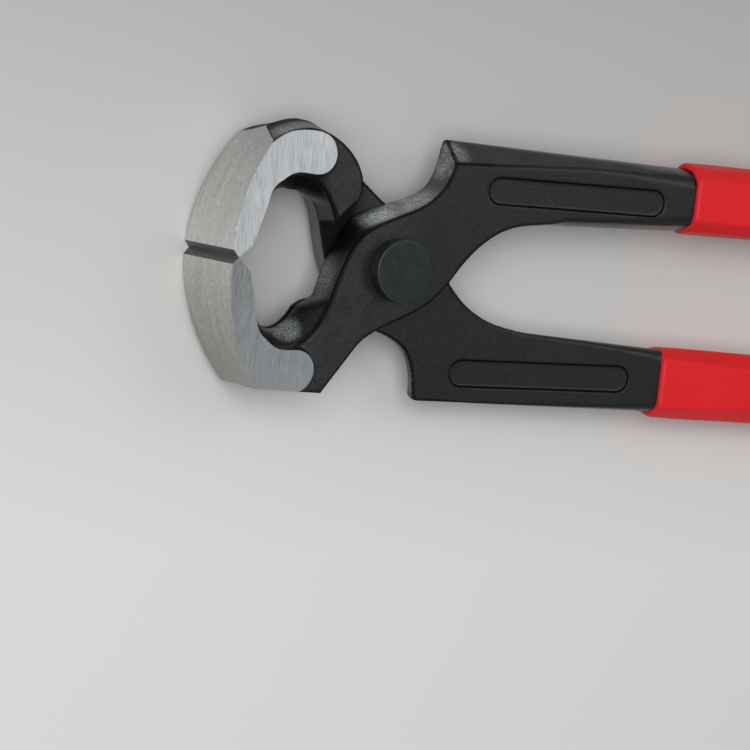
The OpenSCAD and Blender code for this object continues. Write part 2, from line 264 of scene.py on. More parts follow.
def forged_field(x, y, z, foot):
    """The forging of one lever before grinding, as a field that is negative inside.

    The lap half is its outline raised from the lap plane, with a rounded ledge low on its walls, a ridge
    round the throat that the far half shares, and long bevels along the handle. The far half is the jaw's
    own outline, cleared by a turned step round the rivet. Both halves of a domed jaw widen towards the
    parting line at the lap plane. A pad of full width stands on each side of the jaw, ending in a round
    tongue."""
    plan_lap = outline_distance(lap_outline(foot), x, y)
    plan_far = outline_distance(far_outline(foot), x, y)
    x2, y2 = np.meshgrid(x, y, indexing="ij")
    run = np.clip((x2 - DROP_X) / (GRIP_X - DROP_X), 0, None)
    face = LAP_T - (LAP_T - HANDLE_TOP) * run - panel_relief(x2, y2, PANEL_LAP_Y)
    under = LAP_GAP / 2 - (HANDLE_DROP + LAP_GAP / 2) * run + panel_relief(x2, y2, PANEL_FAR_Y)
    bevel_y, rebate_y = np.interp(x2, BEVEL_X, BEVEL_Y), np.interp(x2, REBATE_X, REBATE_Y)
    bevel = math.sin(BEVEL_SLOPE) * (y2 - bevel_y) - math.cos(BEVEL_SLOPE) * LAP_T
    rebate = math.sin(REBATE_SLOPE) * (rebate_y - y2) - math.cos(REBATE_SLOPE) * LAP_T
    inner_side = np.where(x2 > SHOULDER_X, smooth_step(*FLARE_FADE_Y, y2), 1)
    flare = np.interp(x2, FLARE_X, FLARE) * inner_side
    flare = flare * (1 if foot else smooth_step(*FLARE_NECK_X, x2))
    outer = smooth_step(*DOME_FADE_Y, y2) * smooth_step(*DOME_FADE_X, x2)
    dome = 0 * outer if foot else np.interp(x2, DOME_X, DOME_DRAFT) * outer
    back = smooth_step(*BACK_FADE_X, x2) * smooth_step(*BACK_FADE_Y, y2) * smooth_step(*BACK_END_X, x2)
    back = 0 * back if foot else np.maximum(DOME_DRAFT[1] * back - dome, 0)
    starts, full = FRONT_SWELL_Y if foot else REAR_SWELL_Y
    swell = smooth_step(np.interp(x2, SWELL_X, starts), np.interp(x2, SWELL_X, full), y2)
    swell = SWELL * swell * smooth_step(*SWELL_FOOT_Y, y2) * smooth_step(*SWELL_CHEEK_X, x2)
    lean = (0 if foot else CHEEK_LEAN) * smooth_step(*CHEEK_FADE_X, x2) * smooth_step(*CHEEK_FADE_Y, y2)
    lean = LEAN + lean
    edge_r = np.interp(x2, EDGE_X, EDGE_R) + SWELL_R * swell / SWELL
    flat = (plan_lap, plan_far, face, under, bevel, rebate, flare, dome, back, swell, lean, edge_r)
    flat = (v.astype(np.float32)[:, :, None] for v in flat)
    plan_lap, plan_far, face, under, bevel, rebate, flare, dome, back, swell, lean, edge_r = flat
    x, y, z = x[:, None, None], y[None, :, None], z[None, None, :]
    under_r = np.interp(x, UNDER_X, UNDER_R).astype(np.float32)
    dome, back = (v * np.clip(1 - np.abs(z) / LAP_T, 0, 1) for v in (dome, back))

    flare = flare * np.sin(math.pi / 2 * np.clip((FLARE_HIGH - z) / (FLARE_HIGH - FLARE_LOW), 0, 1))
    high = np.where(z < 0, SWELL_UNDER if foot else SWELL_HIGH, SWELL_HIGH).astype(np.float32)
    swell = swell * np.sin(math.pi / 2 * np.clip((high - np.abs(z)) / (high - SWELL_LOW), 0, 1))
    wall = plan_lap - np.maximum(flare, swell) - dome - back
    wall = wall + np.where(z > 0, lean * z, -FAR_LEAN * z)
    bevel_r = np.maximum(edge_r, BEVEL_R)
    lap = round_corner(wall, z - face, edge_r)
    lap = round_corner(lap, bevel + math.cos(BEVEL_SLOPE) * z, bevel_r)
    lap = round_corner(lap, rebate + math.cos(REBATE_SLOPE) * z, bevel_r)
    lap = round_corner(lap, under - z, under_r)
    lap = np.maximum(lap, x - GRIP_X - TANG_IN)

    from_rivet = np.hypot(x, y)
    from_mouth = np.hypot(x - FAR_EDGE_XY[0], y - FAR_EDGE_XY[1])
    step_r = np.interp(y, STEP_EDGE_Y, FRONT_STEP_EDGE if foot else REAR_STEP_EDGE).astype(np.float32)
    far_r = np.interp(from_mouth, FAR_EDGE_REACH, FRONT_FAR_EDGE if foot else REAR_FAR_EDGE)
    far = round_corner(plan_far - dome - swell - LEAN * (z + LAP_T), STEP_R - from_rivet, step_r)
    far = round_corner(far, -z - LAP_T, far_r.astype(np.float32))
    far = np.maximum(far, z - LAP_GAP)
    far = np.maximum(far, STEP_R - from_rivet)

    ground_top = JAW_HALF_W - SIDE_FALL * np.abs(y)
    pad_r = np.interp(np.abs(y), PAD_Y, PAD_R) * smooth_step(*PAD_FADE_X, x) + PAD_LEAST_R
    tongue = np.hypot(np.maximum(x - TONGUE_XY[0], 0), y - TONGUE_XY[1]) - TONGUE_R
    opened = TONGUE_OPENING * np.maximum(TONGUE_OPEN_X - x, 0) ** 2
    opened = opened + MOUTH_OPENING * np.maximum(MOUTH_OPEN_X - x, 0)
    tongue = np.where(y > TONGUE_XY[1], tongue - opened, tongue)
    forged = fillet(lap, far, HALVES_R)
    for side, plan in ((1, plan_lap), (-1, plan_far)):
        pad = round_corner(plan, tongue + PAD_SPREAD * (side * z - ground_top), PAD_CORNER_R)
        pad = round_corner(pad, side * z - ground_top - STOCK, pad_r.astype(np.float32))
        forged = fillet(forged, np.maximum(pad, -side * z), PAD_ROOT_R)
    if not foot:
        cone = SCARF_R[0] + (SCARF_R[1] - SCARF_R[0]) * (z - SCARF_Z) / (LAP_T - SCARF_Z)
        cut = np.minimum(cone - np.hypot(x - SCARF_XY[0], y - SCARF_XY[1]), z - SCARF_Z)
        forged = round_corner(forged, cut, SCARF_EDGE_R)
    return np.maximum(forged, BORE_R - from_rivet).astype(np.float32)


CORNERS = np.array([(i, j, k) for i in (0, 1) for j in (0, 1) for k in (0, 1)])
CELL_EDGES = [(a, b) for a in range(8) for b in range(a + 1, 8)
              if np.abs(CORNERS[a] - CORNERS[b]).sum() == 1]


def skin(field):
    """Quads where a field on a grid passes through zero, in grid steps: one point in every cell that it
    crosses, at the mean of the crossings of the cell's edges, and one quad round every grid edge that it
    crosses."""
    inside = field < 0
    shifted = [inside[tuple(slice(o, o + n - 1) for o, n in zip(c, field.shape))] for c in CORNERS]
    count = sum(s.astype(np.int8) for s in shifted)
    cells = np.argwhere((count > 0) & (count < 8))
    number = np.full([n - 1 for n in field.shape], -1)
    number[tuple(cells.T)] = np.arange(len(cells))
    total, hits = np.zeros((len(cells), 3)), np.zeros((len(cells), 1))
    for a, b in CELL_EDGES:
        fa, fb = field[tuple((cells + CORNERS[a]).T)], field[tuple((cells + CORNERS[b]).T)]
        cross = (fa < 0) != (fb < 0)
        t = np.where(cross, fa / np.where(cross, fa - fb, 1), 0)[:, None]
        total += np.where(cross[:, None], CORNERS[a] + t * (CORNERS[b] - CORNERS[a]), 0)
        hits += cross[:, None]
    quads = []
    for axis in range(3):
        u, v = np.roll(np.eye(3, dtype=int), -axis - 1, 0)[:2]
        here = np.argwhere(np.diff(inside.astype(np.int8), axis=axis) != 0)
        here = here[(here[:, u.argmax()] > 0) & (here[:, v.argmax()] > 0)]
        here = here[(here < np.array(number.shape)).all(1)]
        ring = np.stack([number[tuple((here - d).T)] for d in (u + v, v, 0 * u, u)], 1)
        leaving = inside[tuple(here.T)]
        quads.append(np.where(leaving[:, None], ring, ring[:, ::-1]))
    return cells + total / hits, np.vstack(quads)


def sample(field, points):
    """A field on a grid read between its grid points, in straight steps along each axis."""
    base = np.clip(np.floor(points).astype(int), 0, np.array(field.shape) - 2)
    t = points - base
    value = 0
    for c in CORNERS:
        value = value + field[tuple((base + c).T)] * np.prod(np.where(c == 1, t, 1 - t), 1)
    return value


def cut_along(points, triangles, values, which):
    """Triangles cut where the field in the column which of values stops being the outermost, so that a
    finish can end there. Every point on a cut edge is shared by the triangles on both sides."""
    d = values[:, which] - np.max(np.delete(values, which, 1), 1)
    positive = (d > 0)[triangles]
    lone = positive.sum(1)
    whole = triangles[(lone == 0) | (lone == 3)]
    part, sign = triangles[(lone == 1) | (lone == 2)], positive[(lone == 1) | (lone == 2)]
    odd = np.argmax(sign == (sign.sum(1) == 1)[:, None], 1)
    p, q, r = (part[np.arange(len(part)), (odd + k) % 3] for k in range(3))
    edges = np.sort(np.vstack([np.stack([p, q], 1), np.stack([p, r], 1)]), 1)
    unique, back = np.unique(edges, axis=0, return_inverse=True)
    back = back.ravel()
    d0, d1 = d[unique[:, 0]], d[unique[:, 1]]
    t = (d0 / (d0 - d1))[:, None]

    def with_cuts(a):
        return np.vstack([a, a[unique[:, 0]] * (1 - t) + a[unique[:, 1]] * t])

    pq, pr = len(points) + back[: len(p)], len(points) + back[len(p):]
    made = np.vstack([whole, np.stack([p, pq, pr], 1), np.stack([pq, q, r], 1), np.stack([pq, r, pr], 1)])
    return with_cuts(points), made, with_cuts(values)


def settle(points, has, fields):
    """Points moved onto every face that they belong to: the smallest step that brings those fields to
    nought, from their slopes, taken three times and each time no longer than a fifth of a millimetre. has
    says by point and field which count."""
    reach, longest = 0.02, 0.2
    for _ in range(3):
        value = np.where(has, fields(points), 0)
        slope = [(fields(points + u) - fields(points - u)) / (2 * reach) for u in reach * np.eye(3)]
        slope = np.stack(slope, -1) * has[..., None]
        level = slope @ slope.transpose(0, 2, 1) + 1e-3 * np.eye(has.shape[1])
        step = -(slope.transpose(0, 2, 1) @ np.linalg.solve(level, value[..., None]))[..., 0]
        length = np.maximum(np.linalg.norm(step, axis=1), 1e-9)
        points = points + step * np.minimum(1, longest / length)[:, None]
    return points


def lever_surface(foot):
    """One lever: the forging and the ground faces on one grid, skinned where the outer of them passes
    through zero, cut along every line where two of them meet, and settled on the ground faces. Gives points
    in mm, triangles and the field each belongs to."""
    head = np.arange(GRID_X, DROP_X - 10, HEAD_GRID)
    handle = np.arange(head[-1] + HANDLE_GRID, GRIP_X + TANG_STOCK, HANDLE_GRID)
    axes = [np.concatenate([head, handle]), np.arange(*GRID_Y, HEAD_GRID), np.arange(*GRID_Z, HEAD_GRID)]
    axes = [a.astype(np.float32) for a in axes]
    forged = forged_field(*axes, foot)
    solid = forged.copy()
    for g in ground_fields(axes[0][:, None, None], axes[1][None, :, None], axes[2][None, None, :], foot):
        np.maximum(solid, g, out=solid)
    steps, quads = skin(solid)
    points = np.stack([np.interp(t, np.arange(len(a)), a) for t, a in zip(steps.T, axes)], 1)

    def fields(p):
        grid = np.stack([np.interp(v, a, np.arange(len(a))) for v, a in zip(p.T, axes)], 1)
        return np.stack([sample(forged, grid), *ground_fields(*p.T, foot)], 1)

    values = fields(points)
    triangles = np.vstack([quads[:, [0, 1, 2]], quads[:, [0, 2, 3]]])
    for which in range(values.shape[1]):
        points, triangles, values = cut_along(points, triangles, values, which)
    kinds = values[triangles].mean(1).argmax(1)
    has = np.zeros(values.shape, bool)
    has[triangles, kinds[:, None]] = True
    ground = has[:, 1:].any(1)
    points[ground] = settle(points[ground], has[ground], fields)
    return points, triangles, kinds


def part_frame(points, rear):
    """Points of a lever's own frame in mm, set into the part's frame in metres, the rear one turned over."""
    turned = points * ((1, -1, -1) if rear else (1, 1, 1))
    return (turned + (0, 0, LAP_Z)) * MM


def add_mesh(name, points, faces, materials, body, node):
    """A piece with smooth shading that stands for a CAD node and rides on its body."""
    mesh = bpy.data.meshes.new(name)
    mesh.from_pydata(points.tolist(), [], faces.tolist() if isinstance(faces, np.ndarray) else faces)
    mesh.validate()
    mesh.shade_smooth()
    for material in materials:
        mesh.materials.append(material)
    piece = bpy.data.objects.new(name, mesh)
    bpy.context.scene.collection.objects.link(piece)
    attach(piece, body)
    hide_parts(node)
    return piece


def sharpen(mesh, kinds):
    """Keeps the line between faces of different kinds crisp, and joins the shading within a kind."""
    edge_of_corner = np.zeros(len(mesh.loops), np.int32)
    mesh.loops.foreach_get("edge_index", edge_of_corner)
    of_face = np.repeat(kinds, 3)
    low, high = np.full(len(mesh.edges), 99), np.full(len(mesh.edges), -1)
    np.minimum.at(low, edge_of_corner, of_face)
    np.maximum.at(high, edge_of_corner, of_face)
    crisp = mesh.attributes.new("sharp_edge", "BOOLEAN", "EDGE")
    crisp.data.foreach_set("value", low != high)


def grind_map(mesh, points, triangles, kinds):
    """Map of the grinding direction in mm: along the stroke, then across it. The end face was ground round
    the rivet axis, the sides from edge to foot, and the bevels along the edge."""
    x, y, z = points[triangles].reshape(-1, 3).T
    kind = np.repeat(kinds, 3)
    turn = np.stack([END_R * np.arctan2(y, -x), z], 1)
    stroke = np.stack([y, x], 1)
    edge = np.stack([z, x + y], 1)
    uv = np.where(np.isin(kind, BEVEL_FACES)[:, None], edge, stroke)
    uv = np.where((kind == END_FACE)[:, None], turn, uv)
    mesh.uv_layers.new(name="grind").data.foreach_set("uv", uv.astype(np.float32).ravel())


def mark_finish(mesh, points):
    """Three values at every point of a lever. wall says how far bare specks of steel show: on a point that
    faces sideways, most at the listed places and on walls facing +y; it is partly the blasted grain and
    partly painted glints where the light falls on those walls. The second value is painted shade: dark lines
    where the surface turns sharply outwards, from the change of direction along the mesh's edges, and dark
    on the lap faces, in the hollows beside them and in the throat; it also darkens the dome's lap half,
    which the blast didn't reach.
    panel_edge is the distance in mm from the edge of the panel on its side."""
    normal, place = np.zeros(3 * len(points), np.float32), np.zeros(3 * len(points), np.float32)
    ends = np.zeros(2 * len(mesh.edges), np.int32)
    mesh.vertices.foreach_get("normal", normal)
    mesh.vertices.foreach_get("co", place)
    mesh.edges.foreach_get("vertices", ends)
    normal, place, ends = normal.reshape(-1, 3), place.reshape(-1, 3) / MM, ends.reshape(-1, 2)
    step = place[ends[:, 1]] - place[ends[:, 0]]
    bend = ((normal[ends[:, 1]] - normal[ends[:, 0]]) * step).sum(1) / np.maximum((step**2).sum(1), 0.02)
    turn = np.zeros(len(points))
    np.maximum.at(turn, ends.ravel(), np.repeat(bend, 2))
    x, y, z = points.T
    # painted glints: bare specks heaped round the listed places on the walls, over a small real share
    # everywhere
    specks_and_glints = BARED_WALL + sum(share * smooth_step(reach, 0.3 * reach, np.linalg.norm(points - at, axis=1))
                             for at, reach, share in SPECKS_AND_GLINTS)
    below_edge, behind_jaw = smooth_step(7.4, 5.8, z), smooth_step(-10, -6, x)
    specks_and_glints *= np.maximum(below_edge, behind_jaw)
    # painted light: walls that face +y, where the light falls, get more specks
    facing_light, tilt = smooth_step(-0.3, 0.4, normal[:, 1]), np.abs(normal[:, 2])
    specks_and_glints *= 0.25 + 0.75 * facing_light
    sideways, head = smooth_step(0.9, 0.5, tilt), smooth_step(10, -6, x)
    wall = np.maximum(sideways * np.minimum(specks_and_glints, 1), BARED_FACE * head)
    # painted shade: dark lines along sharp outward edges, less of them along the handle
    sharp_edge, along_handle = smooth_step(0.3, 1.0, turn), smooth_step(18, 40, x)
    scale_and_painted_shade = sharp_edge * (1 - 0.8 * along_handle)
    # painted shade: the lap faces and the listed hollows are darkened
    hollow_shade = smooth_step(0.8, 0.3, np.abs(z)) * smooth_step(-5, -9, x)
    for at, reach in PAINTED_HOLLOW_SHADE:
        hollow_shade = np.maximum(hollow_shade, smooth_step(reach, 0.45 * reach, np.linalg.norm(points - at, axis=1)))
    dome = smooth_step(-24, -26, y) * smooth_step(-12, -16, x) * smooth_step(-4.5, -1.5, z)
    scale = 0.9 * dome * smooth_step(0.8, 0.5, tilt)
    scale_and_painted_shade = np.maximum(scale_and_painted_shade, np.maximum(hollow_shade, scale))
    line = np.where(z > 3, panel_edge(x, y, *PANEL_LAP_Y), panel_edge(x, y, *PANEL_FAR_Y))
    for name, value in (("wall", wall), ("scale_and_painted_shade", scale_and_painted_shade), ("panel_edge", line)):
        mesh.attributes.new(name, "FLOAT", "POINT").data.foreach_set("value", value.astype(np.float32))


def lever(name, rear, materials):
    """A lever with its forged faces in the first material, its ground sides and foot in the second, the two
    bevels of its cutting edge in the third and its ground end in the last."""
    points, triangles, kinds = lever_surface(foot=not rear)
    piece = add_mesh(name, part_frame(points, rear), triangles, materials, "rear" if rear else "front",
                     "rear_lever" if rear else "front_lever")
    finish = np.array(FACE_MATERIAL, np.int32)[kinds]
    piece.data.polygons.foreach_set("material_index", finish)
    sharpen(piece.data, kinds)
    grind_map(piece.data, points, triangles, kinds)
    mark_finish(piece.data, points)
    return piece


def tube(rings, close_start, close_end):
    """Quads of a grid of rings, each a closed loop of as many points, with its ends closed by a fan to
    their middle."""
    n, m = rings.shape[:2]
    points = rings.reshape(-1, 3)
    i, j = np.meshgrid(np.arange(n - 1), np.arange(m), indexing="ij")
    k = (j + 1) % m
    faces = np.stack([i * m + j, i * m + k, (i + 1) * m + k, (i + 1) * m + j], -1).reshape(-1, 4).tolist()
    loop = np.arange(m)
    for ring, wanted, turn in ((0, close_start, 1), (n - 1, close_end, -1)):
        if wanted:
            points = np.vstack([points, rings[ring].mean(0)])
            fan = np.stack([np.full(m, len(points) - 1), ring * m + np.roll(loop, -1), ring * m + loop], 1)
            faces += fan[:, ::turn].tolist()
    return points, faces


def rounded_section(corners, r, n=9):
    """Convex section with rounded corners: each corner is set in by r from its two sides, and an arc of
    radius r turns from one side's outward direction to the next. corners is rings by corners by 2."""
    before = corners - np.roll(corners, 1, 1)
    before /= np.linalg.norm(before, axis=-1, keepdims=True)
    after = np.roll(before, -1, 1)
    out_a = np.stack([before[..., 1], -before[..., 0]], -1)
    out_b = np.stack([after[..., 1], -after[..., 0]], -1)
    middle = out_a + out_b
    centre = corners - r[..., None] * middle / (0.5 * (middle**2).sum(-1, keepdims=True))
    start = np.arctan2(out_a[..., 1], out_a[..., 0])
    sweep = np.mod(np.arctan2(out_b[..., 1], out_b[..., 0]) - start, 2 * math.pi)
    angle = start[..., None] + sweep[..., None] * np.linspace(0, 1, n)
    arcs = centre[:, :, None] + r[..., None, None] * np.stack([np.cos(angle), np.sin(angle)], -1)
    return arcs.reshape(len(corners), -1, 2)


def grip(name, rear, material):
    """A dipped grip: an eight-sided section with soft corners carried along the handle, narrowing to a round
    end. The dipped rim turns in over a small radius at the handle, and the end closes over a quarter round.
    Each ring is the full section drawn in towards its middle."""
    end_r, rim_r = 4.2, 1.2
    lip_x, lip_inset = np.array([2.5, 0.3]), np.array([0.4, 0.2])
    rim, tip = np.linspace(0, math.pi / 2, 9), np.linspace(0, math.pi / 2, 14)[1:]
    straight = np.linspace(GRIP_X + 1.9, END_X - end_r, 40)
    x = np.concatenate([GRIP_X + lip_x, GRIP_X + rim_r * (1 - np.sin(rim)[::-1]), straight,
                        END_X - end_r + end_r * np.sin(tip)])
    inset = np.concatenate([GRIP_WALL + lip_inset, rim_r * (1 - np.cos(rim)[::-1]), np.zeros(len(straight)),
                            end_r * (1 - np.cos(tip))])
    s = np.clip((x - GRIP_X) / (END_X - GRIP_X), 0, 1)
    off_y, more_y, taper_y, taper_z = 0.3, 0.25, 0.14, 0.2
    mid_y = HANDLE_IN + HANDLE_H / 2 + off_y + HANDLE_SPLAY * s
    half_y = HANDLE_H / 2 * (1 - taper_y * s**2) + GRIP_WALL + more_y
    mid_z = (HANDLE_TOP - HANDLE_DROP) / 2 * (1 - taper_z * s)
    half_z = (HANDLE_TOP + HANDLE_DROP) / 2 * (1 - taper_z * s) + GRIP_WALL
    # the corners of one side from the lower flat up, as shares of the half width and height, but the widest
    # one's height in mm over the lap plane; near the rim the lower flat is wider and the corners are softer
    flat, flat_more, brow_y, brow_z, widest_z = 0.56, 0.14, 0.87, 0.55, 0.8
    corner_r = [1.5, 3.0, 3.0, 1.3]
    low_y = half_y * (flat + flat_more * smooth_step(0.35, 0.0, s))
    half = np.stack([low_y, half_y, brow_y * half_y, flat * half_y], 1)
    level = np.stack([-half_z, widest_z - mid_z, brow_z * half_z, half_z], 1)
    ys, zs = np.hstack([half, -half[:, ::-1]]), np.hstack([level, level[:, ::-1]])
    r = np.array(corner_r + corner_r[::-1]) * (1 + 0.5 * smooth_step(0.12, 0.0, s))[:, None]
    section = rounded_section(np.stack([ys, zs], -1), r)
    half, middle = np.stack([half_y, half_z], 1), np.stack([mid_y, mid_z], 1)
    section = section * ((half - inset[:, None]) / half)[:, None] + middle[:, None]
    rings = np.concatenate([np.broadcast_to(x[:, None, None], (*section.shape[:2], 1)), section], -1)
    points, faces = tube(rings, False, True)
    return add_mesh(name, part_frame(points, rear), faces, [material], "rear" if rear else "front",
                    "rear_grip" if rear else "front_grip")


def rivet(material):
    """The rivet: a profile of radius and height turned round its axis, the same on both sides of the lap
    plane."""
    e, head, seat = RIVET_EDGE, JAW_HALF_W, LAP_T + LAP_GAP / 2
    turn = np.linspace(0, math.pi / 2, 6)
    edge_r, edge_z = RIVET_HEAD_R - e + e * np.sin(turn), head - e + e * np.cos(turn)
    face_r = np.linspace(0.4, RIVET_HEAD_R - e, 8)[:-1]
    face_z = np.full(len(face_r), head)
    shank_r = [RIVET_HEAD_R, RIVET_HEAD_R - 0.1, RIVET_SHANK_R, RIVET_SHANK_R]
    shank_z = [seat + 0.15, seat, seat, 0]
    half_r, half_z = np.concatenate([face_r, edge_r, shank_r]), np.concatenate([face_z, edge_z, shank_z])
    r = np.concatenate([half_r, half_r[-2::-1]])[:, None]
    z = np.concatenate([half_z, -half_z[-2::-1]])[:, None]
    angle = np.linspace(0, 2 * math.pi, 120, endpoint=False)
    rings = np.stack([r * np.cos(angle), r * np.sin(angle), z * np.ones_like(angle)], -1)
    points, faces = tube(rings[::-1], True, True)
    return add_mesh("rivet_body", part_frame(points, False), faces, [material],
                    "front", "rivet")


def linear(colour):
    """sRGB hex value as linear red, green, blue and alpha."""
    c = np.array([int(colour[i:i + 2], 16) for i in (1, 3, 5)]) / 255
    return (*np.where(c <= 0.04045, c / 12.92, ((c + 0.055) / 1.055) ** 2.4), 1.0)


def add_node(tree, kind, links=(), sockets=None, **settings):
    """A node with its settings by name, its input values in sockets and its links as (socket, output)."""
    node = tree.nodes.new(kind)
    for key, value in settings.items():
        setattr(node, key, value)
    for socket, value in (sockets or {}).items():
        node.inputs[socket].default_value = value
    for socket, output in links:
        tree.links.new(output, node.inputs[socket])
    return node


def new_material(name, **sockets):
    """An empty node material, its tree and its shader with plain values set on its sockets."""
    material = bpy.data.materials.new(name)
    material.use_nodes = True
    shader = material.node_tree.nodes["Principled BSDF"]
    for socket, value in sockets.items():
        shader.inputs[socket.replace("_", " ")].default_value = value
    return material, material.node_tree, shader


def dress(tree, shader, **outputs):
    """Outputs of a tree linked to its shader's sockets by name."""
    for socket, output in outputs.items():
        tree.links.new(output, shader.inputs[socket.replace("_", " ")])


def black_oxide_forging():
    """Drop-forged tool steel, shot-blasted and blackened in hot salts: a deep bluish charcoal with a fine
    blasted grain. Its sharp edges, the lap faces and the hollows beside them are painted near black as
    painted shade; the dome's lap half, which the blast didn't reach, is near black too. On the walls bare
    bright specks of steel stand out of the black, heaped where the walls face the light as painted glints. A
    thin line is pressed in along the edge of each panel and painted dark as painted shade in its groove. The
    real grain and specks are about a tenth of a millimetre; they are drawn at about a third, so that they
    show."""
    material, tree, shader = new_material("black_oxide_forged_steel", Specular_IOR_Level=0.5)
    where = add_node(tree, "ShaderNodeTexCoord").outputs["Object"]
    wall = add_node(tree, "ShaderNodeAttribute", attribute_name="wall").outputs["Fac"]
    scale_and_painted_shade = add_node(tree, "ShaderNodeAttribute", attribute_name="scale_and_painted_shade").outputs["Fac"]
    edge = add_node(tree, "ShaderNodeAttribute", attribute_name="panel_edge").outputs["Fac"]
    grain = add_node(tree, "ShaderNodeTexNoise", [("Vector", where)],
                     {"Scale": 1 / (0.3 * MM), "Detail": 2.0, "Roughness": 0.6}).outputs["Fac"]
    cloud = add_node(tree, "ShaderNodeTexNoise", [("Vector", where)],
                     {"Scale": 1 / (7 * MM), "Detail": 5.0, "Roughness": 0.65}).outputs["Fac"]
    dust = add_node(tree, "ShaderNodeMath", [(0, cloud), (2, grain)],
                    {1: 0.15}, operation="MULTIPLY_ADD").outputs[0]
    shade = add_node(tree, "ShaderNodeMapRange", [("Value", dust)],
                     {"From Min": 0.42, "From Max": 0.82}).outputs["Result"]
    body = add_node(tree, "ShaderNodeMix", [(0, shade)], {6: linear("#010101"), 7: linear("#20262a")},
                    data_type="RGBA").outputs[2]
    pits = add_node(tree, "ShaderNodeTexNoise", [("Vector", where)],
                    {"Scale": 1 / (0.36 * MM), "Detail": 3.0, "Roughness": 0.7}).outputs["Fac"]
    fleck = add_node(tree, "ShaderNodeMapRange", [("Value", pits)],
                     {"From Min": 0.40, "From Max": 0.56}).outputs["Result"]
    patch = add_node(tree, "ShaderNodeMapRange", [("Value", cloud)],
                     {"From Min": 0.30, "From Max": 0.56}).outputs["Result"]
    # painted glints: the specks follow the wall value, heaped where the walls face the light
    bare = add_node(tree, "ShaderNodeMath", [(0, fleck), (1, wall)], operation="MULTIPLY").outputs[0]
    bare = add_node(tree, "ShaderNodeMath", [(0, bare), (1, patch)], operation="MULTIPLY").outputs[0]
    speckled = add_node(tree, "ShaderNodeMix", [(0, bare), (6, body)], {7: linear("#e2e7e7")},
                        data_type="RGBA").outputs[2]
    # painted shade: the panel's edge line is darkened as the shade in its groove, besides its bump
    away = add_node(tree, "ShaderNodeMath", [(0, edge)], operation="ABSOLUTE").outputs[0]
    line = add_node(tree, "ShaderNodeMapRange", [("Value", away)],
                    {"From Min": 0.30, "From Max": 0.08}, interpolation_type="SMOOTHSTEP").outputs["Result"]
    # painted shade: edges, hollows and the panel line turn to near-black metal, which also puts out their
    # reflections
    dark = add_node(tree, "ShaderNodeMath", [(0, scale_and_painted_shade), (2, line)], {1: 0.85}, operation="MULTIPLY_ADD",
                    use_clamp=True).outputs[0]
    colour = add_node(tree, "ShaderNodeMix", [(0, dark), (6, speckled)], {7: linear("#111314")},
                      data_type="RGBA").outputs[2]
    rough = add_node(tree, "ShaderNodeMapRange", [("Value", grain)],
                     {"From Min": 0.3, "From Max": 0.7, "To Min": 0.36, "To Max": 0.24}).outputs["Result"]
    rough = add_node(tree, "ShaderNodeMath", [(0, dark), (2, rough)],
                     {1: 0.35}, operation="MULTIPLY_ADD").outputs[0]
    depth = add_node(tree, "ShaderNodeMapRange", [("Value", wall)],
                     {"To Min": 0.5, "To Max": 1.0}).outputs["Result"]
    blast = add_node(tree, "ShaderNodeBump", [("Height", grain), ("Strength", depth)],
                     {"Distance": 0.08 * MM}).outputs["Normal"]
    groove = add_node(tree, "ShaderNodeBump", [("Height", line), ("Normal", blast)],
                      {"Strength": 1.0, "Distance": 0.25 * MM}, invert=True).outputs["Normal"]
    metal = add_node(tree, "ShaderNodeMath", [(0, bare), (1, dark)], operation="MAXIMUM").outputs[0]
    dress(tree, shader, Base_Color=colour, Roughness=rough, Metallic=metal, Normal=groove)
    return material


def black_oxide_rivet():
    """Turned and headed steel, blackened in hot salts: smoother than the forgings, with a faint cloud in the
    black and a thin pale metal ring round the edge of a head, rubbed bare there and also a painted highlight
    along that edge."""
    material, tree, shader = new_material("black_oxide_rivet_steel", Specular_IOR_Level=0.42)
    where = add_node(tree, "ShaderNodeTexCoord").outputs["Object"]
    cloud = add_node(tree, "ShaderNodeTexNoise", [("Vector", where)],
                     {"Scale": 1 / (2 * MM), "Detail": 5.0, "Roughness": 0.75}).outputs["Fac"]
    grain = add_node(tree, "ShaderNodeTexNoise", [("Vector", where)],
                     {"Scale": 1 / (0.4 * MM), "Detail": 2.0, "Roughness": 0.5}).outputs["Fac"]
    body = add_node(tree, "ShaderNodeMix", [(0, cloud)], {6: linear("#000101"), 7: linear("#262c2f")},
                    data_type="RGBA").outputs[2]
    flat = add_node(tree, "ShaderNodeVectorMath", [(0, where)],
                    {1: (1.0, 1.0, 0.0)}, operation="MULTIPLY").outputs[0]
    out = add_node(tree, "ShaderNodeVectorMath", [(0, flat)], operation="LENGTH").outputs["Value"]
    off = add_node(tree, "ShaderNodeMath", [(0, out)],
                   {1: (RIVET_HEAD_R - 0.18) * MM}, operation="SUBTRACT").outputs[0]
    off = add_node(tree, "ShaderNodeMath", [(0, off)], operation="ABSOLUTE").outputs[0]
    # partly wear and partly a painted highlight: a faint pale metal ring along the head's edge
    rubbed_ring_and_highlight = add_node(tree, "ShaderNodeMapRange", [("Value", off)],
                    {"From Min": 0.17 * MM, "From Max": 0.02 * MM, "To Max": 0.08}).outputs["Result"]
    colour = add_node(tree, "ShaderNodeMix", [(0, rubbed_ring_and_highlight), (6, body)],
                      {7: linear("#8d9192")}, data_type="RGBA").outputs[2]
    rough = add_node(tree, "ShaderNodeMapRange", [("Value", cloud)],
                     {"From Min": 0.3, "From Max": 0.7, "To Min": 0.32, "To Max": 0.52}).outputs["Result"]
    bump = add_node(tree, "ShaderNodeBump", [("Height", grain)],
                    {"Strength": 0.5, "Distance": 0.05 * MM}).outputs["Normal"]
    dress(tree, shader, Base_Color=colour, Roughness=rough, Metallic=rubbed_ring_and_highlight, Normal=bump)
    return material


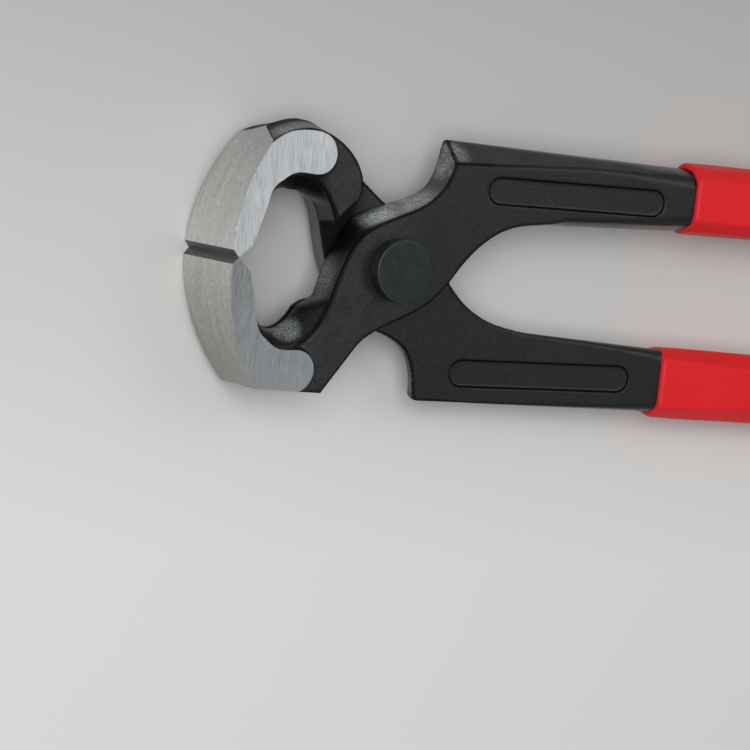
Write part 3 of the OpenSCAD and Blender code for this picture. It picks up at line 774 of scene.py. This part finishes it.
def ground_steel(name, dark, pale, gloss, stroke, painted_fade=0.0):
    """Hardened tool steel, belt-ground: satin grey with fine broken strokes along the grinding direction,
    some brighter and some duller, over slow faint bands where the belt bit more or less. stroke is their
    length in mm. The last argument paints the face darker away from the cutting edge, over 30 mm of the
    face,
    or lighter there where it is negative: painted shade that follows how the light falls across the face.
    The real scratches are finer than a tenth of a millimetre; they are drawn about twice as coarse, so that
    they show."""
    material, tree, shader = new_material(name, Metallic=1.0)
    where = add_node(tree, "ShaderNodeUVMap", uv_map="grind").outputs["UV"]
    wave = add_node(tree, "ShaderNodeTexNoise", [("Vector", where)],
                    {"Scale": 1 / 2.5, "Detail": 1.0}).outputs["Color"]
    bent = add_node(tree, "ShaderNodeVectorMath", [(0, wave), (2, where)], {1: (0.6, 0.6, 0.0)},
                    operation="MULTIPLY_ADD").outputs["Vector"]
    fine = add_node(tree, "ShaderNodeMapping", [("Vector", bent)],
                    {"Scale": (1 / stroke, 1 / 0.2, 1.0)}).outputs["Vector"]
    slow = add_node(tree, "ShaderNodeMapping", [("Vector", bent)],
                    {"Scale": (1 / 16, 1 / 2.2, 1.0)}).outputs["Vector"]
    strokes = add_node(tree, "ShaderNodeTexNoise", [("Vector", fine)],
                       {"Scale": 1.0, "Detail": 4.0, "Roughness": 0.7}).outputs["Fac"]
    bands = add_node(tree, "ShaderNodeTexNoise", [("Vector", slow)],
                     {"Scale": 1.0, "Detail": 2.0, "Roughness": 0.5}).outputs["Fac"]
    bands = add_node(tree, "ShaderNodeMapRange", [("Value", bands)],
                     {"To Min": -0.2, "To Max": 0.2}).outputs["Result"]
    tone = add_node(tree, "ShaderNodeMath", [(0, strokes), (2, bands)],
                    {1: 1.5}, operation="MULTIPLY_ADD").outputs[0]
    along = add_node(tree, "ShaderNodeSeparateXYZ", [("Vector", where)]).outputs["X"]
    away = add_node(tree, "ShaderNodeMath", [(0, along)], operation="ABSOLUTE").outputs[0]
    # painted shade: the stroke tone is shifted darker or lighter along the face by the last argument
    tone_and_painted_fade = add_node(tree, "ShaderNodeMath", [(0, away), (2, tone)],
                      {1: -painted_fade / 30}, operation="MULTIPLY_ADD").outputs[0]
    share = add_node(tree, "ShaderNodeMapRange", [("Value", tone_and_painted_fade)],
                     {"From Min": 0.35, "From Max": 1.10}).outputs["Result"]
    colour = add_node(tree, "ShaderNodeMix", [(0, share)],
                      {6: linear(dark), 7: linear(pale)}, data_type="RGBA").outputs[2]
    rough = add_node(tree, "ShaderNodeMapRange", [("Value", share)],
                     {"To Min": gloss + 0.08, "To Max": gloss - 0.04}).outputs["Result"]
    bump = add_node(tree, "ShaderNodeBump", [("Height", strokes)],
                    {"Strength": 0.6, "Distance": 0.03 * MM}).outputs["Normal"]
    dress(tree, shader, Base_Color=colour, Roughness=rough, Normal=bump)
    return material


def dipped_plastic():
    """Soft vinyl, dipped: a clear strong red with a satin skin, very slightly uneven where it ran."""
    material, tree, shader = new_material("dipped_red_vinyl", IOR=1.5, Specular_IOR_Level=0.15)
    where = add_node(tree, "ShaderNodeTexCoord").outputs["Object"]
    flow = add_node(tree, "ShaderNodeTexNoise", [("Vector", where)],
                    {"Scale": 1 / (14 * MM), "Detail": 2.0, "Roughness": 0.5}).outputs["Fac"]
    grain = add_node(tree, "ShaderNodeTexNoise", [("Vector", where)],
                     {"Scale": 1 / (0.8 * MM), "Detail": 2.0, "Roughness": 0.5}).outputs["Fac"]
    colour = add_node(tree, "ShaderNodeMix", [(0, flow)], {6: linear("#da2025"), 7: linear("#e3272d")},
                      data_type="RGBA").outputs[2]
    rough = add_node(tree, "ShaderNodeMapRange", [("Value", flow)],
                     {"From Min": 0.3, "From Max": 0.7, "To Min": 0.42, "To Max": 0.50}).outputs["Result"]
    bump = add_node(tree, "ShaderNodeBump", [("Height", grain)],
                    {"Strength": 0.25, "Distance": 0.03 * MM}).outputs["Normal"]
    dress(tree, shader, Base_Color=colour, Roughness=rough, Normal=bump)
    return material


def studio():
    """A pale paper floor that runs out to the horizon, painted a little greyer away from the viewer as
    painted shade, under an even pale sky, with a wide soft lamp in front of the tool and one over the
    handles."""
    material, tree, shader = new_material("pale_floor_paper", Roughness=0.9)
    where = add_node(tree, "ShaderNodeTexCoord").outputs["Object"]
    depth = add_node(tree, "ShaderNodeSeparateXYZ", [("Vector", where)]).outputs["Y"]
    # painted shade: the floor goes greyer away from the viewer
    share = add_node(tree, "ShaderNodeMapRange", [("Value", depth)],
                     {"From Min": -0.07, "From Max": 0.10}).outputs["Result"]
    colour = add_node(tree, "ShaderNodeMix", [(0, share)], {6: linear("#dededc"), 7: linear("#a6a6a4")},
                      data_type="RGBA").outputs[2]
    dress(tree, shader, Base_Color=colour)
    mesh = bpy.data.meshes.new("floor")
    mesh.from_pydata([(-8, -8, 0), (8, -8, 0), (8, 8, 0), (-8, 8, 0)], [], [(0, 1, 2, 3)])
    mesh.materials.append(material)
    floor = bpy.data.objects.new("floor", mesh)
    bpy.context.scene.collection.objects.link(floor)
    world = bpy.data.worlds.new("sky")
    world.use_nodes = True
    background = world.node_tree.nodes["Background"]
    background.inputs["Color"].default_value = linear("#eef0f1")
    background.inputs["Strength"].default_value = 0.30
    bpy.context.scene.world = world
    for name, place, watts in (("front", (-0.50, 0.10, 0.95), 8.4), ("key", (0.55, 0.45, 1.0), 2.0)):
        lamp = bpy.data.lights.new(name, "AREA")
        lamp.energy, lamp.size = watts, 0.7
        rig = bpy.data.objects.new(name, lamp)
        aim = (Vector((0.02, 0, LAP_Z * MM)) - Vector(place)).to_track_quat("-Z", "Y")
        rig.matrix_world = Matrix.LocRotScale(place, aim, None)
        bpy.context.scene.collection.objects.link(rig)


def camera():
    """The photograph's view: from above the jaws, sixty degrees down, with a long lens."""
    lens = bpy.data.cameras.new("camera")
    lens.sensor_width = 36.0
    focal_px, frame_px = 3600, 750
    lens.lens = focal_px * lens.sensor_width / frame_px
    lens.clip_start, lens.clip_end = 0.01, 50
    rig = bpy.data.objects.new("camera", lens)
    rig.matrix_world = Matrix([(0.8644, -0.0578, -0.4995, -0.4137), (0.1112, 0.9908, 0.0777, 0.0395),
                               (0.4904, -0.1227, 0.8628, 0.7311), (0, 0, 0, 1)])
    bpy.context.scene.collection.objects.link(rig)
    bpy.context.scene.camera = rig


forging = black_oxide_forging()
sides = ground_steel("ground_tool_steel", "#8f9395", "#d4d7d9", 0.40, 5.0)
# painted shade: a darker copy of the ground steel for the lower jaw's sides, painted lighter away from the
# edge
low_sides = ground_steel("ground_lower_side_steel_painted_shade", "#606466", "#e0e3e5", 0.40, 5.0, -0.25)
# painted light: the end's greys pushed almost to white, painted brighter near the cutting edge
ends = ground_steel("ground_end_steel_painted_light", "#b4b5b3", "#fdfdfa", 0.42, 1.3, 0.3)
# painted light and shade: a darker copy of the end steel for the lower jaw, painted brighter near the edge
low_ends = ground_steel("ground_lower_end_steel_painted_light_and_shade", "#a3a19d", "#f6f3ee", 0.42, 1.3, 0.5)
# painted shade: a darker copy of the ground steel for the cutting edge's bevels
edges = ground_steel("ground_edge_steel_painted_shade", "#535452", "#747573", 0.42, 3.0)
red = dipped_plastic()
lever("front_lever_forging", False, [forging, low_sides, edges, low_ends])
lever("rear_lever_forging", True, [forging, sides, edges, ends])
rivet(black_oxide_rivet())
grip("front_grip_skin", False, red)
grip("rear_grip_skin", True, red)
studio()
camera()

bpy.context.scene.view_settings.view_transform = "Standard"
bpy.context.view_layer.update()
